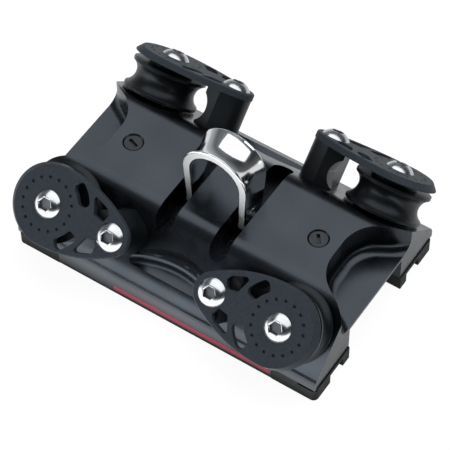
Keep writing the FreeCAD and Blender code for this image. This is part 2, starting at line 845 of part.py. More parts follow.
def build():
    pieces = {"main_body": main_body()}
    quarters = {"near_left": (-1, -1), "near_right": (1, -1), "far_left": (-1, 1), "far_right": (1, 1)}
    axle_reach = cover_top + screw_depth_in_body
    screw = button_screw(axle_reach)
    post_screw = shifted(screw, post_spacing)
    drawn = {
        "sheave": sheave(),
        "sheave_hub": sheave_hub(),
        "seat_disc": seat_disc(),
        "cheek_cover": cheek_cover(),
    }
    post = spacer_post()
    for place, (side_x, side_y) in quarters.items():
        for name, shape in drawn.items():
            pieces[name + "_" + place] = station(shape, side_x, side_y)
        handed_post = post if side_x * side_y > 0 else mirrored_y(post)
        pieces["spacer_post_" + place] = station(handed_post, side_x, side_y)
    signs = list(quarters.values())
    pieces["axle_screws"] = Part.makeCompound([station(screw, *pair) for pair in signs])
    pieces["post_screws"] = Part.makeCompound([station(post_screw, *pair) for pair in signs])
    pieces["bail"] = bail()
    pieces["bail_pin"] = bail_pin()
    pieces["pin_lock_screws"] = Part.makeCompound([
        lock_screw(-lock_screw_x, lock_slot_angle_left),
        lock_screw(lock_screw_x, lock_slot_angle_right),
    ])
    cap = return_cap()
    for name, shape in zip(("near_right", "near_left", "far_right", "far_left"), four_ways(cap)):
        pieces["return_cap_" + name] = shape
    for name, side_y in (("near", -1), ("far", 1)):
        pieces["race_strip_" + name] = race_strip(side_y)
        pieces["bearing_balls_" + name] = bearing_balls(side_y)
    pieces["cap_screws"] = Part.makeCompound([countersunk_screw(*place) for place in cap_screw_places()])
    pieces["strip_screws"] = Part.makeCompound(
        [countersunk_screw(x, y, strip_screw_top) for x, y in strip_screw_places()]
    )
    return pieces


os.makedirs("parts", exist_ok=True)
for node, shape in build().items():
    shape.exportStep("parts/" + node + ".step")
    print(node, "valid" if shape.isValid() else "NOT VALID", len(shape.Solids), round(shape.Volume, 1))
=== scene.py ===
"""Looks of a traveller car: machined body, moulded covers, sheaves, polished bail and screws."""
import json
import math

import bpy
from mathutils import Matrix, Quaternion, Vector


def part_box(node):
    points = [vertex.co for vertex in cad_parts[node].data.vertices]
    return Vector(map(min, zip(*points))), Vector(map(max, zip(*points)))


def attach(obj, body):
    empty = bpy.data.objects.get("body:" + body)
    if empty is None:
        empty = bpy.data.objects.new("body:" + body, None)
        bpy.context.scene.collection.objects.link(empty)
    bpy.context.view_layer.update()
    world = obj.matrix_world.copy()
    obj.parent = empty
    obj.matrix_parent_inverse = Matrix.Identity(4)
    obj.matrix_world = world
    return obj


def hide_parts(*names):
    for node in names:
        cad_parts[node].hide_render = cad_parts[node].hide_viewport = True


bl_info = {
    "name": "Traveller Car Finish",
    "version": (1, 0, 0),
    "blender": (4, 5, 0),
    "location": "View3D > Sidebar > Car",
    "description": "Finishes the pieces of a traveller car and sets up its studio",
    "category": "Object",
}

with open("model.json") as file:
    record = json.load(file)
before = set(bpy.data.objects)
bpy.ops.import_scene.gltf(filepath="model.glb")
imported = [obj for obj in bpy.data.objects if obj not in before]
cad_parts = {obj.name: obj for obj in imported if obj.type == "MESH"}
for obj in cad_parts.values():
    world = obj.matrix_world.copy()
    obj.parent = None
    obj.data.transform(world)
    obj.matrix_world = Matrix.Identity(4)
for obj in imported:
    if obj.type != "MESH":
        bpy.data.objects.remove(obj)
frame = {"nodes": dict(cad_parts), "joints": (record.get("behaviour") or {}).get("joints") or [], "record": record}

mm = 0.001
quarters = {
    "near_left": (-1, -1),
    "near_right": (1, -1),
    "far_left": (-1, 1),
    "far_right": (1, 1),
}
flank_slope = math.radians(45)

# Vertices this near each other are one
weld = 0.001 * mm
# Allowance when a place is compared with a size
hair = 0.05 * mm

# Faces that turn by less than these from their neighbours are one plane, or one curve
flat_turn = math.radians(0.4)
smooth_turn = math.radians(28)
# Edges whose faces turn by more than these are blunt, or square
blunt_turn = math.radians(35)
square_turn = math.radians(60)

# Nearly all of a noise texture's values lie between these
noise_low = 0.3
noise_high = 0.7


def linear_colour(hex_colour):
    """Linear colour with alpha, as the shaders take it, from an sRGB hex value."""
    channels = [int(hex_colour[place:place + 2], 16) / 255 for place in (1, 3, 5)]
    linear = [value / 12.92 if value <= 0.04045 else ((value + 0.055) / 1.055) ** 2.4 for value in channels]
    return (*linear, 1.0)


def colour_property(name, description, hex_colour):
    return bpy.props.FloatVectorProperty(
        name=name,
        description=description,
        subtype="COLOR",
        size=4,
        min=0,
        max=1,
        default=linear_colour(hex_colour),
    )


def length_property(name, description, millimetres):
    return bpy.props.FloatProperty(
        name=name,
        description=description,
        unit="LENGTH",
        subtype="DISTANCE",
        min=0,
        default=millimetres * mm,
    )


def power_property(name, description, watts):
    return bpy.props.FloatProperty(
        name=name,
        description=description,
        unit="POWER",
        min=0,
        default=watts,
    )


class CarColours(bpy.types.PropertyGroup):
    """Colours of the finishes."""

    body: colour_property("Body", "Black anodising of the machined body", "#373b40")
    cover: colour_property("Cover", "Moulded cheek covers", "#343a40")
    post: colour_property("Post", "Moulded posts", "#0b0e10")
    cap: colour_property("Cap", "Moulded caps and strips", "#171c1b")
    sheave: colour_property("Sheave", "Moulded sheaves", "#0e1113")
    steel: colour_property("Steel", "Polished stainless steel", "#dcdedf")
    screw: colour_property("Screws", "Stainless steel of the tumbled screws", "#b4b7ba")
    # The socket colour is darker than the heads' as painted shade in the recess
    socket: colour_property("Socket", "Punched sockets of the screws", "#6e7277")
    hub: colour_property("Hub", "Turned stainless sleeves", "#b9bbbd")
    lock_screw: colour_property("Lock screws", "Blackened steel of the lock screws", "#2b2e32")
    balls: colour_property("Balls", "Bearing balls", "#4c4a35")
    stripe: colour_property("Stripe", "Painted stripe on the near skirt", "#aa2e46")
    floor: colour_property("Floor", "Studio floor", "#f4f5f6")


class CarSizes(bpy.types.PropertyGroup):
    """Sizes of what is modelled on top of the frame."""

    metal_edge: length_property("Metal edge", "Width of the broken edges of the body", 0.45)
    shoulder_height: length_property("Shoulder height", "Height where skirt and flank would meet", 15.7)
    shoulder_round: length_property("Shoulder round", "Radius between a skirt and its flank", 8)
    scoop_rim: length_property("Scoop rim", "Width of the rounded rim of the end scoops", 1.2)
    scoop_reach: length_property("Scoop reach", "How far the end scoops reach in from the ends", 24)
    scoop_mouth: length_property("Scoop mouth", "Half width within which the scoop rims lie", 35.5)
    scoop_rim_level: length_property("Scoop rim level", "Height above which the scoop rims lie", 36)
    window_edge: length_property("Window edge", "Width of the rounded rims of the covers' windows", 0.5)
    moulded_edge: length_property("Moulded edge", "Width of the rounded edges of moulded pieces", 0.35)
    cap_edge: length_property("Cap edge", "Width of the rounded edges of caps and strips", 0.5)
    fine_edge: length_property("Fine edge", "Width of the broken edges of small pieces", 0.2)
    window_start: length_property("Window start", "Distance from the axle beyond which the windows lie", 15.5)
    post_spacing: length_property("Post spacing", "Distance between a cover's two screws", 38.1)
    screw_radius: length_property("Screw radius", "Radius of a button head", 7.5)
    screw_edge: length_property("Screw edge", "Width of the broken edges of the screw heads", 0.15)
    socket_edge: length_property("Socket edge", "Width of the chamfer round a screw's socket", 0.7)
    socket_reach: length_property("Socket reach", "Radius within which a screw's socket lies", 3.5)
    socket_depth: length_property("Socket depth", "Depth of a screw's socket below its rim", 2.1)
    dimple_start: length_property("Dimple start", "Distance from the axle beyond which the dimples lie", 9)
    dimple_edge: length_property("Dimple edge", "Width of the rounded rims of the dimples", 0.3)
    bail_spring: length_property("Bail spring", "Height at which the bail's arch springs", 63.5)
    flare_foot: length_property("Flare foot", "Height at which the built bail's flare ends", 55)
    flare_end: length_property("Flare end", "Height at which the flare dies out to the eye", 36)
    stripe_start: length_property("Stripe start", "Distance of the stripe's left end from the middle", 30.7)
    stripe_end: length_property("Stripe end", "Distance of the stripe's right end from the middle", 64.3)
    stripe_width: length_property("Stripe width", "Width of the stripe", 3.3)
    stripe_height: length_property("Stripe height", "Height of the stripe's middle above the floor", 5.1)
    stripe_coat: length_property("Stripe coat", "Thickness of the stripe's paint", 0.06)


class CarStudio(bpy.types.PropertyGroup):
    """Camera and lamps."""

    azimuth: bpy.props.FloatProperty(
        name="Azimuth",
        description="Direction of the camera round the car, from the near side towards the right",
        subtype="ANGLE",
        default=math.radians(33.71),
    )
    elevation: bpy.props.FloatProperty(
        name="Elevation",
        description="Height of the camera above the horizon",
        subtype="ANGLE",
        default=math.radians(53.43),
    )
    roll: bpy.props.FloatProperty(
        name="Roll",
        description="Turn of the camera about its own axis",
        subtype="ANGLE",
        default=math.radians(-0.47),
    )
    distance: length_property("Distance", "Distance of the camera from the car", 1224.2)
    aim_right: length_property("Aim right", "How far right of the car's origin the camera aims", 0.09)
    aim_up: length_property("Aim up", "How far above the car's origin the camera aims in its view", 9.78)
    lens: bpy.props.FloatProperty(
        name="Lens",
        description="Focal length of the camera on a 36 mm sensor",
        unit="CAMERA",
        default=188.0,
    )
    above_power: power_property("Power above", "Power of the softbox above the car", 31)
    left_power: power_property("Power left", "Power of the softbox at the left", 1.6)
    front_power: power_property("Power in front", "Power of the softbox low in front", 12)


def select_only(piece):
    bpy.ops.object.select_all(action="DESELECT")
    piece.select_set(True)
    bpy.context.view_layer.objects.active = piece


def clear_selection(mesh):
    """Nothing of the mesh is selected when edit mode opens."""
    for part in (mesh.vertices, mesh.edges, mesh.polygons):
        part.foreach_set("select", [False] * len(part))


def body_of_node(node):
    """Name of the moving body that a node of the frame belongs to."""
    for body, nodes in frame["record"]["behaviour"]["bodies"].items():
        if node in nodes:
            return body
    raise RuntimeError("no body holds " + node)


def dress(piece, material):
    piece.data.materials.clear()
    piece.data.materials.append(material)


def stand_for(piece, node, material):
    """The piece takes a node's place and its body."""
    dress(piece, material)
    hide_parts(node)
    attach(piece, body_of_node(node))


def apply_modifier(piece, kind, **settings):
    select_only(piece)
    modifier = piece.modifiers.new(kind.title(), kind)
    for name, value in settings.items():
        setattr(modifier, name, value)
    bpy.ops.object.modifier_apply(modifier=modifier.name)


def soften(piece, width, segments=3):
    """Breaks the sharp edges of a piece and smooths what is round."""
    if width > 0:
        apply_modifier(
            piece, "BEVEL",
            width=width, segments=segments, limit_method="ANGLE", angle_limit=smooth_turn,
            use_clamp_overlap=True, harden_normals=False,
        )
    select_only(piece)
    bpy.ops.object.shade_smooth_by_angle(angle=smooth_turn)
    if width > 0:
        apply_modifier(piece, "WEIGHTED_NORMAL", keep_sharp=True)


def round_edges(piece, chosen, width, segments, turn):
    """Rounds the edges that turn by more than turn and whose middles pass the test."""
    select_only(piece)
    bpy.ops.object.mode_set(mode="EDIT")
    bpy.ops.mesh.select_mode(type="EDGE")
    bpy.ops.mesh.select_all(action="DESELECT")
    bpy.ops.mesh.edges_select_sharp(sharpness=turn)
    bpy.ops.object.mode_set(mode="OBJECT")
    mesh = piece.data
    picked = []
    for edge in mesh.edges:
        ends = [mesh.vertices[index].co for index in edge.vertices]
        if edge.select and chosen((ends[0] + ends[1]) / 2):
            picked.append(edge.index)
    if not picked:
        raise RuntimeError("no edge of " + piece.name + " was picked for rounding")
    clear_selection(mesh)
    for index in picked:
        mesh.edges[index].select = True
    bpy.ops.object.mode_set(mode="EDIT")
    bpy.ops.mesh.bevel(offset=width, segments=segments, profile=0.5, affect="EDGES", clamp_overlap=True)
    bpy.ops.mesh.select_all(action="DESELECT")
    bpy.ops.object.mode_set(mode="OBJECT")


def round_shoulder(piece, side, height, radius, cuts=8):
    """Eases the edge between a skirt and its flank with cuts that touch one arc.

    A cut that passes within 0.1 mm of a vertex joins it, which leaves broad facets."""
    skirt = abs(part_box("main_body")[0].y)
    centre = Vector((0, side * (skirt - radius), height - radius * math.tan(flank_slope / 2)))
    select_only(piece)
    bpy.ops.object.mode_set(mode="EDIT")
    for cut in range(cuts):
        angle = flank_slope * (cut + 0.5) / cuts
        out = Vector((0, side * math.cos(angle), math.sin(angle)))
        bpy.ops.mesh.select_all(action="SELECT")
        bpy.ops.mesh.bisect(plane_co=centre + out * radius, plane_no=out, use_fill=True, clear_outer=True)
    bpy.ops.object.mode_set(mode="OBJECT")


def whole_copy(node, name):
    """A welded copy of a node with its flat faces made whole."""
    source = frame["nodes"][node]
    piece = bpy.data.objects.new(name, source.data.copy())
    bpy.context.collection.objects.link(piece)
    select_only(piece)
    bpy.ops.object.mode_set(mode="EDIT")
    bpy.ops.mesh.select_all(action="SELECT")
    bpy.ops.mesh.remove_doubles(threshold=weld)
    bpy.ops.mesh.customdata_custom_splitnormals_clear()
    bpy.ops.mesh.dissolve_limited(angle_limit=flat_turn)
    bpy.ops.object.mode_set(mode="OBJECT")
    return piece


def refined(node, name, width, segments=3):
    """A whole copy of a node with its edges broken."""
    piece = whole_copy(node, name)
    soften(piece, width, segments)
    return piece


def from_axis(spot, place, out):
    """Distance of a spot from the axis through a place, and how far along the axis it lies."""
    way = spot - place
    level = way.dot(out)
    return (way - out * level).length, level


def flank_place(quarter):
    """Foot of a cover's axle, the direction from there to its post, and out of the flank."""
    side_x, side_y = quarters[quarter]
    joint = next(joint for joint in frame["joints"] if joint["name"] == "sheave_" + quarter + "_spin")
    out = Vector((0, side_y, 1)).normalized()
    return Vector(joint["pos_m"]), Vector((-side_x, 0, 0)), out


def add_node(tree, kind, settings=None, inputs=None, links=None):
    """One shader node with its settings, the values of its sockets and what feeds them."""
    node = tree.nodes.new(kind)
    for name, value in (settings or {}).items():
        setattr(node, name, value)
    for name, value in (inputs or {}).items():
        node.inputs[name].default_value = value
    for name, socket in (links or {}).items():
        tree.links.new(socket, node.inputs[name])
    return node


def new_material(name):
    material = bpy.data.materials.new(name)
    material.use_nodes = True
    tree = material.node_tree
    tree.nodes.clear()
    output = add_node(tree, "ShaderNodeOutputMaterial")
    return material, tree, output


def grain_size(millimetres):
    """Noise scale, on coordinates in metres, whose lumps are that wide."""
    return 1 / (millimetres * mm)


def shade_variation(tree, coordinates, colour, patch, amount):
    """The colour, a little darker and lighter in soft patches of that width in millimetres."""
    noise = add_node(
        tree, "ShaderNodeTexNoise",
        inputs={"Scale": grain_size(patch), "Detail": 3.0},
        links={"Vector": coordinates},
    )
    ramp = add_node(tree, "ShaderNodeValToRGB", links={"Fac": noise.outputs["Fac"]})
    low, high = ramp.color_ramp.elements
    low.position, high.position = noise_low, noise_high
    low.color = (*[channel * (1 - amount) for channel in colour[:3]], 1)
    high.color = (*[channel * (1 + amount) for channel in colour[:3]], 1)
    return ramp.outputs["Color"]


def roughness_variation(tree, coordinates, patch, low, high):
    """Roughness that wanders between two values in patches of that width in millimetres."""
    noise = add_node(
        tree, "ShaderNodeTexNoise",
        inputs={"Scale": grain_size(patch), "Detail": 4.0},
        links={"Vector": coordinates},
    )
    spread = add_node(
        tree, "ShaderNodeMapRange",
        inputs={"From Min": noise_low, "From Max": noise_high, "To Min": low, "To Max": high},
        links={"Value": noise.outputs["Fac"]},
    )
    return spread.outputs["Result"]


def grain_bump(tree, coordinates, width, height, strength):
    """Bump from a fine grain, its width and height in millimetres."""
    noise = add_node(
        tree, "ShaderNodeTexNoise",
        inputs={"Scale": grain_size(width), "Detail": 2.0},
        links={"Vector": coordinates},
    )
    bump = add_node(
        tree, "ShaderNodeBump",
        inputs={"Strength": strength, "Distance": height * mm},
        links={"Height": noise.outputs["Fac"]},
    )
    return bump.outputs["Normal"]


# Dark plastic throws a white light back a little blue
cool_sheen = linear_colour("#e6f0fa")


def satin_surface(name, colour, patch, tone, rough, grain, shader_inputs):
    """A surface with patches of tone, uneven roughness and a fine grain.

    patch is their width in millimetres and tone how much they differ. rough is
    (lowest, highest). grain is (width, height, strength), the first two in millimetres."""
    material, tree, output = new_material(name)
    place = add_node(tree, "ShaderNodeTexCoord").outputs["Object"]
    shader = add_node(
        tree, "ShaderNodeBsdfPrincipled",
        inputs=shader_inputs,
        links={
            "Base Color": shade_variation(tree, place, colour, patch, tone),
            "Roughness": roughness_variation(tree, place, patch / 2, *rough),
            "Normal": grain_bump(tree, place, *grain),
        },
    )
    tree.links.new(shader.outputs["BSDF"], output.inputs["Surface"])
    return material


def anodised_aluminium(colour):
    # Aluminium, bead blasted and anodised black: the dyed oxide is a satin grey
    # where it faces the light. The blasting is 0.1 mm, drawn at 0.5 mm to show.
    return satin_surface(
        "anodised_aluminium", colour, 18, 0.10, (0.24, 0.31), (0.5, 0.02, 0.2),
        {"Metallic": 1.0},
    )


def glass_filled_nylon(colour):
    # Injection moulded nylon with glass fibre, in a spark-eroded mould: matte,
    # with a fine grain of 0.3 mm, drawn at 0.6 mm to show.
    return satin_surface(
        "glass_filled_nylon", colour, 1.4, 0.12, (0.50, 0.60), (0.6, 0.05, 0.9),
        {"IOR": 1.53, "Specular IOR Level": 0.12, "Specular Tint": cool_sheen},
    )


def polished_mould_nylon(colour):
    # The same nylon from a smoother mould: deep black with a soft sheen.
    return satin_surface(
        "polished_mould_nylon", colour, 12, 0.10, (0.34, 0.44), (0.8, 0.015, 0.2),
        {"IOR": 1.53, "Specular IOR Level": 0.35, "Specular Tint": cool_sheen},
    )


def matte_nylon(colour):
    # Nylon of the caps and strips, dulled by the track: black with a green cast.
    return satin_surface(
        "matte_nylon", colour, 7, 0.12, (0.50, 0.62), (0.7, 0.02, 0.3),
        {"IOR": 1.53, "Specular IOR Level": 0.15},
    )


def acetal(colour):
    # Acetal sheave, turned smooth by its rope: black with long soft highlights.
    return satin_surface(
        "acetal", colour, 10, 0.10, (0.30, 0.38), (0.5, 0.01, 0.15),
        {"IOR": 1.48, "Specular IOR Level": 0.28, "Specular Tint": cool_sheen},
    )


def polished_stainless(colour):
    # Stainless steel polished on a buff: bright, with a faint orange peel.
    return satin_surface(
        "polished_stainless", colour, 6, 0.03, (0.10, 0.16), (2.5, 0.01, 0.12),
        {"Metallic": 1.0},
    )


def tumbled_stainless(colour):
    # Screw heads, tumbled until they shine softly: reflections with dim outlines.
    return satin_surface(
        "tumbled_stainless", colour, 3, 0.06, (0.18, 0.26), (0.8, 0.008, 0.25),
        {"Metallic": 1.0},
    )


def blasted_stainless(colour):
    # The bail's rims, blasted with glass beads: an even light grey that shines little.
    return satin_surface(
        "blasted_stainless", colour, 5, 0.04, (0.64, 0.72), (0.4, 0.006, 0.2),
        {"Metallic": 1.0},
    )


def dull_steel_painted_shade(colour):
    # The sockets of the screws: dull as the punch leaves them, and darker as painted shade in the recess.
    return satin_surface(
        "dull_steel_painted_shade", colour, 2, 0.12, (0.38, 0.48), (0.3, 0.006, 0.2),
        {"Metallic": 1.0},
    )


def turned_stainless(colour):
    # Stainless sleeve as it leaves the lathe.
    return satin_surface(
        "turned_stainless", colour, 4, 0.05, (0.25, 0.35), (0.3, 0.005, 0.15),
        {"Metallic": 1.0},
    )


def blackened_steel(colour):
    # Steel with a black oxide: dark, a little oily.
    return satin_surface(
        "blackened_steel", colour, 3, 0.10, (0.30, 0.42), (0.3, 0.005, 0.15),
        {"Metallic": 0.7},
    )


def polyamide_imide(colour):
    # Ground polyamide-imide, a brown-green plastic: a dull polish.
    return satin_surface(
        "polyamide_imide", colour, 5, 0.08, (0.25, 0.32), (0.4, 0.004, 0.1),
        {"IOR": 1.6},
    )


def printed_enamel(colour):
    # Screen-printed enamel, a little glossier than the anodising under it.
    return satin_surface(
        "printed_enamel", colour, 8, 0.05, (0.36, 0.42), (0.5, 0.005, 0.1),
        {"IOR": 1.5, "Specular IOR Level": 0.25},
    )


class CAR_OT_body(bpy.types.Operator):
    """Machined body: eases its shoulders, rounds its scoop rims, breaks its edges and anodises it"""

    bl_idname = "car.body"
    bl_label = "Body"

    def execute(self, context):
        scene = context.scene
        sizes = scene.car_sizes
        piece = whole_copy("main_body", "body_anodised")
        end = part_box("main_body")[1].x

        def on_scoop_rim(middle):
            along = end - sizes.scoop_reach < abs(middle.x) < end - hair
            return along and abs(middle.y) < sizes.scoop_mouth and middle.z > sizes.scoop_rim_level

        for side in (-1, 1):
            round_shoulder(piece, side, sizes.shoulder_height, sizes.shoulder_round)
        round_edges(piece, on_scoop_rim, sizes.scoop_rim, 4, blunt_turn)
        soften(piece, sizes.metal_edge)
        stand_for(piece, "main_body", anodised_aluminium(scene.car_colours.body))
        return {"FINISHED"}


class CAR_OT_covers(bpy.types.Operator):
    """Cheek covers over the sheaves"""

    bl_idname = "car.covers"
    bl_label = "Cheek covers"

    def execute(self, context):
        scene = context.scene
        material = glass_filled_nylon(scene.car_colours.cover)
        sizes = scene.car_sizes
        for quarter in quarters:
            node = "cheek_cover_" + quarter
            foot, to_post, out = flank_place(quarter)
            piece = whole_copy(node, node + "_moulded")
            post = foot + to_post * sizes.post_spacing
            top = max(from_axis(vertex.co, foot, out)[1] for vertex in piece.data.vertices)

            def on_dimple_rim(middle):
                across, level = from_axis(middle, foot, out)
                return level > top - hair and sizes.dimple_start < across < sizes.window_start

            def on_window_rim(middle):
                across, level = from_axis(middle, foot, out)
                clear_of_screw = from_axis(middle, post, out)[0] > sizes.screw_radius
                return level > top - hair and across > sizes.window_start and clear_of_screw

            round_edges(piece, on_dimple_rim, sizes.dimple_edge, 2, blunt_turn)
            round_edges(piece, on_window_rim, sizes.window_edge, 3, square_turn)
            soften(piece, sizes.fine_edge, 2)
            stand_for(piece, node, material)
        return {"FINISHED"}


class CAR_OT_posts(bpy.types.Operator):
    """Posts between the flanks and the covers"""

    bl_idname = "car.posts"
    bl_label = "Posts"

    def execute(self, context):
        scene = context.scene
        material = polished_mould_nylon(scene.car_colours.post)
        for quarter in quarters:
            node = "spacer_post_" + quarter
            piece = refined(node, node + "_moulded", scene.car_sizes.moulded_edge)
            stand_for(piece, node, material)
        return {"FINISHED"}


class CAR_OT_sheaves(bpy.types.Operator):
    """Sheaves with the sleeves they turn on and the discs under them"""

    bl_idname = "car.sheaves"
    bl_label = "Sheaves"

    def execute(self, context):
        scene = context.scene
        wheel = acetal(scene.car_colours.sheave)
        sleeve = turned_stainless(scene.car_colours.hub)
        disc = bpy.data.materials["polished_mould_nylon"]
        for quarter in quarters:
            node = "sheave_" + quarter
            stand_for(refined(node, node + "_turned", scene.car_sizes.fine_edge), node, wheel)
            dress(frame["nodes"]["sheave_hub_" + quarter], sleeve)
            dress(frame["nodes"]["seat_disc_" + quarter], disc)
        return {"FINISHED"}


class CAR_OT_screws(bpy.types.Operator):
    """Button-head screws in the covers"""

    bl_idname = "car.screws"
    bl_label = "Button-head screws"

    def execute(self, context):
        scene = context.scene
        sizes = scene.car_sizes
        steel = tumbled_stainless(scene.car_colours.screw)
        socket_painted_shade = dull_steel_painted_shade(scene.car_colours.socket)
        for node, along in (("axle_screws", 0), ("post_screws", sizes.post_spacing)):
            piece = whole_copy(node, node + "_polished")
            heads = []
            for quarter in quarters:
                foot, to_post, out = flank_place(quarter)
                heads.append((foot + to_post * along, out))

            def from_head(spot):
                """Distance of a spot from the nearest screw's axis, and its height along it."""
                place, out = min(heads, key=lambda head: (spot - head[0]).length)
                return from_axis(spot, place, out)

            top = max(from_head(vertex.co)[1] for vertex in piece.data.vertices)
            socket_top = top - sizes.socket_depth / 3
            socket_bottom = top - sizes.socket_depth * 1.2

            def on_socket_rim(middle):
                across, level = from_head(middle)
                return across < sizes.socket_reach and level > socket_top

            round_edges(piece, on_socket_rim, sizes.socket_edge, 1, blunt_turn)
            soften(piece, sizes.screw_edge)
            stand_for(piece, node, steel)
            # The socket walls take the darker steel: painted shade in the recess
            piece.data.materials.append(socket_painted_shade)
            for face in piece.data.polygons:
                across, level = from_head(face.center)
                if across < sizes.socket_reach and socket_bottom < level < socket_top:
                    face.material_index = 1
        return {"FINISHED"}


class CAR_OT_lock_screws(bpy.types.Operator):
    """Slotted screws in the crown that hold the bail pin"""

    bl_idname = "car.lock_screws"
    bl_label = "Lock screws"

    def execute(self, context):
        scene = context.scene
        node = "pin_lock_screws"
        piece = refined(node, node + "_slotted", scene.car_sizes.fine_edge)
        stand_for(piece, node, blackened_steel(scene.car_colours.lock_screw))
        return {"FINISHED"}


class CAR_OT_bail(bpy.types.Operator):
    """Bail and the pin that it swings on"""

    bl_idname = "car.bail"
    bl_label = "Bail"

    def execute(self, context):
        sizes = context.scene.car_sizes
        piece = whole_copy("bail", "bail_polished")
        clear_selection(piece.data)
        for vertex in piece.data.vertices:
            vertex.select = sizes.flare_foot - hair < vertex.co.z < sizes.bail_spring - hair
        select_only(piece)
        bpy.ops.object.mode_set(mode="EDIT")
        bpy.ops.mesh.select_mode(type="VERT")
        bpy.ops.transform.resize(
            value=(1, 1, (sizes.bail_spring - sizes.flare_end) / (sizes.bail_spring - sizes.flare_foot)),
            center_override=(0, 0, sizes.bail_spring),
        )
        bpy.ops.mesh.select_all(action="DESELECT")
        bpy.ops.object.mode_set(mode="OBJECT")
        soften(piece, 0)
        stand_for(piece, "bail", polished_stainless(context.scene.car_colours.steel))
        piece.data.materials.append(blasted_stainless(context.scene.car_colours.steel))
        # The rims are the faces that look along the width of the car
        square_on = 0.95
        for face in piece.data.polygons:
            if abs(face.normal.y) > square_on:
                face.material_index = 1
        dress(frame["nodes"]["bail_pin"], bpy.data.materials["blackened_steel"])
        return {"FINISHED"}


class CAR_OT_caps(bpy.types.Operator):
    """Return caps and race strips with their screws"""

    bl_idname = "car.caps"
    bl_label = "Caps and strips"

    def execute(self, context):
        scene = context.scene
        nylon = matte_nylon(scene.car_colours.cap)
        nodes = ["return_cap_" + quarter for quarter in quarters]
        nodes += ["race_strip_near", "race_strip_far"]
        for node in nodes:
            stand_for(refined(node, node + "_moulded", scene.car_sizes.cap_edge), node, nylon)
        for node in ("cap_screws", "strip_screws"):
            dress(frame["nodes"][node], bpy.data.materials["tumbled_stainless"])
        return {"FINISHED"}


class CAR_OT_balls(bpy.types.Operator):
    """Bearing balls in their circuits"""

    bl_idname = "car.balls"
    bl_label = "Bearing balls"

    def execute(self, context):
        material = polyamide_imide(context.scene.car_colours.balls)
        for side in ("near", "far"):
            node = "bearing_balls_" + side
            stand_for(refined(node, node + "_round", 0), node, material)
        return {"FINISHED"}


class CAR_OT_stripe(bpy.types.Operator):
    """Painted stripe along the near skirt"""

    bl_idname = "car.stripe"
    bl_label = "Stripe"

    def execute(self, context):
        sizes = context.scene.car_sizes
        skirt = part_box("main_body")[0].y
        length = sizes.stripe_start + sizes.stripe_end
        bpy.ops.object.select_all(action="DESELECT")
        bpy.ops.mesh.primitive_plane_add(
            size=1,
            location=((sizes.stripe_end - sizes.stripe_start) / 2, skirt, sizes.stripe_height),
            rotation=(math.pi / 2, 0, 0),
        )
        stripe = context.object
        stripe.name = "skirt_stripe"
        stripe.scale = (length, sizes.stripe_width, 1)
        bpy.ops.object.transform_apply(location=True, rotation=True, scale=True)
        clear_selection(stripe.data)
        for vertex in stripe.data.vertices:
            vertex.select = vertex.co.x > 0
        # Just under half the width, so that the two round corners don't meet
        corner = sizes.stripe_width * 0.49
        bpy.ops.object.mode_set(mode="EDIT")
        bpy.ops.mesh.select_mode(type="VERT")
        bpy.ops.mesh.bevel(offset=corner, segments=8, affect="VERTICES")
        bpy.ops.object.mode_set(mode="OBJECT")
        apply_modifier(stripe, "SOLIDIFY", thickness=sizes.stripe_coat, offset=1.0)
        dress(stripe, printed_enamel(context.scene.car_colours.stripe))
        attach(stripe, body_of_node("main_body"))
        return {"FINISHED"}


def studio_floor(colour):
    """Pale floor, nearly white to the camera, with a soft shadow, and a painted reflection: its front glows
    brightly in mirrors only.
    """
    # The camera sees mostly glow, and the shadow in the rest
    seen_glow = 0.93
    seen_share = 0.14
    lit_share = 0.75
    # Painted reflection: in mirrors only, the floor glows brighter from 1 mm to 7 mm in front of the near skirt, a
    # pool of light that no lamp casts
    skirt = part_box("main_body")[0].y
    painted_front_glow = {"From Min": skirt - 7 * mm, "From Max": skirt - 1 * mm, "To Min": 1.9, "To Max": 0.3}
    material, tree, output = new_material("studio_floor")
    path = add_node(tree, "ShaderNodeLightPath")
    place = add_node(tree, "ShaderNodeTexCoord").outputs["Object"]
    split = add_node(tree, "ShaderNodeSeparateXYZ", links={"Vector": place})
    front = add_node(tree, "ShaderNodeMapRange", inputs=painted_front_glow, links={"Value": split.outputs["Y"]})
    # Painted reflection: only glossy rays see the bright glow of the front
    painted_reflection_glow = add_node(
        tree, "ShaderNodeMath", {"operation": "MULTIPLY"},
        links={0: path.outputs["Is Glossy Ray"], 1: front.outputs["Result"]},
    )
    level = add_node(
        tree, "ShaderNodeMath", {"operation": "MULTIPLY_ADD"},
        inputs={1: seen_glow},
        links={0: path.outputs["Is Camera Ray"], 2: painted_reflection_glow.outputs["Value"]},
    )
    glow = add_node(
        tree, "ShaderNodeEmission",
        inputs={"Color": (1, 1, 1, 1)},
        links={"Strength": level.outputs["Value"]},
    )
    matte = add_node(tree, "ShaderNodeBsdfDiffuse", inputs={"Color": colour})
    share = add_node(
        tree, "ShaderNodeMapRange",
        inputs={"To Min": lit_share, "To Max": seen_share},
        links={"Value": path.outputs["Is Camera Ray"]},
    )
    dimmed = add_node(
        tree, "ShaderNodeMixShader",
        links={"Fac": share.outputs["Result"], 2: matte.outputs["BSDF"]},
    )
    both = add_node(
        tree, "ShaderNodeAddShader",
        links={0: dimmed.outputs["Shader"], 1: glow.outputs["Emission"]},
    )
    tree.links.new(both.outputs["Shader"], output.inputs["Surface"])
    return material


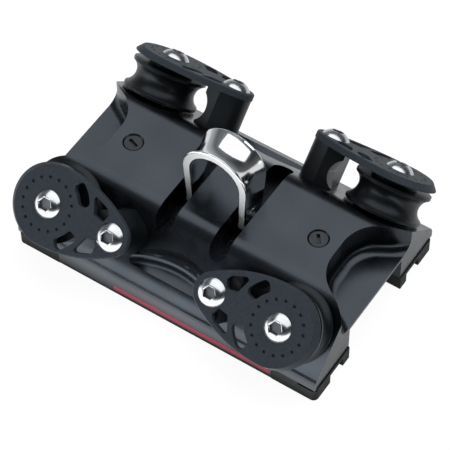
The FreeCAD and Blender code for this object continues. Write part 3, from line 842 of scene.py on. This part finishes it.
def studio_world():
    """Room that only shows in what shines, lightest low at its left; the camera sees plain white."""
    foot_light = (0.50, 0.51, 0.52, 1)
    wall_light = (0.13, 0.135, 0.145, 1)
    ceiling_light = (0.25, 0.255, 0.265, 1)
    fill_light = (0.18, 0.185, 0.195, 1)
    right_share = 0.25
    world = bpy.data.worlds.new("studio_room")
    bpy.context.scene.world = world
    world.use_nodes = True
    tree = world.node_tree
    tree.nodes.clear()
    output = add_node(tree, "ShaderNodeOutputWorld")
    path = add_node(tree, "ShaderNodeLightPath")
    way = add_node(tree, "ShaderNodeTexCoord")
    split = add_node(tree, "ShaderNodeSeparateXYZ", links={"Vector": way.outputs["Generated"]})
    ramp = add_node(tree, "ShaderNodeValToRGB", links={"Fac": split.outputs["Z"]})
    low, high = ramp.color_ramp.elements
    low.position, low.color = 0.06, foot_light
    high.position, high.color = 0.42, wall_light
    top = ramp.color_ramp.elements.new(0.95)
    top.color = ceiling_light
    dark_side = add_node(
        tree, "ShaderNodeMapRange",
        inputs={"From Min": -0.1, "From Max": 0.5, "To Min": 1.0, "To Max": right_share},
        links={"Value": split.outputs["X"]},
    )
    walls = add_node(
        tree, "ShaderNodeBackground",
        links={"Color": ramp.outputs["Color"], "Strength": dark_side.outputs["Result"]},
    )
    fill = add_node(tree, "ShaderNodeBackground", inputs={"Color": fill_light})
    white = add_node(tree, "ShaderNodeBackground", inputs={"Color": (1, 1, 1, 1)})
    lit = add_node(
        tree, "ShaderNodeMixShader",
        links={
            "Fac": path.outputs["Is Glossy Ray"],
            1: fill.outputs["Background"],
            2: walls.outputs["Background"],
        },
    )
    mix = add_node(
        tree, "ShaderNodeMixShader",
        links={
            "Fac": path.outputs["Is Camera Ray"],
            1: lit.outputs["Shader"],
            2: white.outputs["Background"],
        },
    )
    tree.links.new(mix.outputs["Shader"], output.inputs["Surface"])


def softbox(name, place, aim, width, height, power):
    """Area lamp at a place, turned towards aim, both in metres as its width and height are."""
    lamp = bpy.data.lights.new(name, "AREA")
    lamp.shape = "RECTANGLE"
    lamp.size = width
    lamp.size_y = height
    lamp.energy = power
    holder = bpy.data.objects.new(name, lamp)
    bpy.context.collection.objects.link(holder)
    holder.location = place
    holder.rotation_mode = "QUATERNION"
    holder.rotation_quaternion = (Vector(aim) - Vector(place)).to_track_quat("-Z", "Y")


class CAR_OT_stage(bpy.types.Operator):
    """Floor, room, lamps and camera"""

    bl_idname = "car.stage"
    bl_label = "Studio"

    def execute(self, context):
        scene = context.scene
        studio = scene.car_studio
        bpy.ops.object.select_all(action="DESELECT")
        # A little below the car, so that no face of it lies in the floor
        bpy.ops.mesh.primitive_plane_add(size=8, location=(0, 0, -0.02 * mm))
        floor = context.object
        floor.name = "studio_floor"
        dress(floor, studio_floor(scene.car_colours.floor))
        studio_world()
        car = (0, 0, 0.03)
        right_of_car = (0.45, 0, 0.03)
        softbox(
            "softbox_above", place=(0.45, 0.4, 1.5), aim=right_of_car,
            width=3.2, height=1.6, power=studio.above_power,
        )
        softbox(
            "softbox_left", place=(-1.3, -0.9, 0.7), aim=car,
            width=0.8, height=0.8, power=studio.left_power,
        )
        softbox(
            "softbox_front", place=(-0.66, -1.6, 0.25), aim=car,
            width=2.4, height=0.5, power=studio.front_power,
        )
        camera = bpy.data.cameras.new("photo_camera")
        camera.lens = studio.lens
        camera.sensor_width = 36
        camera.clip_start, camera.clip_end = 0.05, 50
        holder = bpy.data.objects.new("photo_camera", camera)
        bpy.context.collection.objects.link(holder)
        level = math.cos(studio.elevation)
        back = Vector((
            math.sin(studio.azimuth) * level,
            -math.cos(studio.azimuth) * level,
            math.sin(studio.elevation),
        ))
        upright = (-back).to_track_quat("-Z", "Y")
        right = upright @ Vector((1, 0, 0))
        up = upright @ Vector((0, 1, 0))
        holder.location = right * studio.aim_right + up * studio.aim_up + back * studio.distance
        holder.rotation_mode = "QUATERNION"
        holder.rotation_quaternion = Quaternion(back, studio.roll) @ upright
        scene.camera = holder
        scene.view_settings.view_transform = "Standard"
        return {"FINISHED"}


steps = (
    CAR_OT_body,
    CAR_OT_covers,
    CAR_OT_posts,
    CAR_OT_sheaves,
    CAR_OT_screws,
    CAR_OT_lock_screws,
    CAR_OT_bail,
    CAR_OT_caps,
    CAR_OT_balls,
    CAR_OT_stripe,
    CAR_OT_stage,
)


class CAR_PT_sidebar(bpy.types.Panel):
    """Lists the steps and the settings of the car"""

    bl_idname = "CAR_PT_sidebar"
    bl_label = "Traveller car"
    bl_space_type = "VIEW_3D"
    bl_region_type = "UI"
    bl_category = "Car"

    def draw(self, context):
        for group in (context.scene.car_colours, context.scene.car_sizes, context.scene.car_studio):
            box = self.layout.box()
            for name in group.__annotations__:
                box.prop(group, name)
        for step in steps:
            self.layout.operator(step.bl_idname)


groups = {"car_colours": CarColours, "car_sizes": CarSizes, "car_studio": CarStudio}


def register():
    for group in groups.values():
        bpy.utils.register_class(group)
    for step in steps:
        bpy.utils.register_class(step)
    bpy.utils.register_class(CAR_PT_sidebar)
    for name, group in groups.items():
        setattr(bpy.types.Scene, name, bpy.props.PointerProperty(type=group))


def unregister():
    for name in groups:
        delattr(bpy.types.Scene, name)
    bpy.utils.unregister_class(CAR_PT_sidebar)
    for step in reversed(steps):
        bpy.utils.unregister_class(step)
    for group in reversed(list(groups.values())):
        bpy.utils.unregister_class(group)


def main():
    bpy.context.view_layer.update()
    register()
    bpy.ops.car.body()
    bpy.ops.car.covers()
    bpy.ops.car.posts()
    bpy.ops.car.sheaves()
    bpy.ops.car.screws()
    bpy.ops.car.lock_screws()
    bpy.ops.car.bail()
    bpy.ops.car.caps()
    bpy.ops.car.balls()
    bpy.ops.car.stripe()
    bpy.ops.car.stage()


if __name__ == "__main__":
    main()
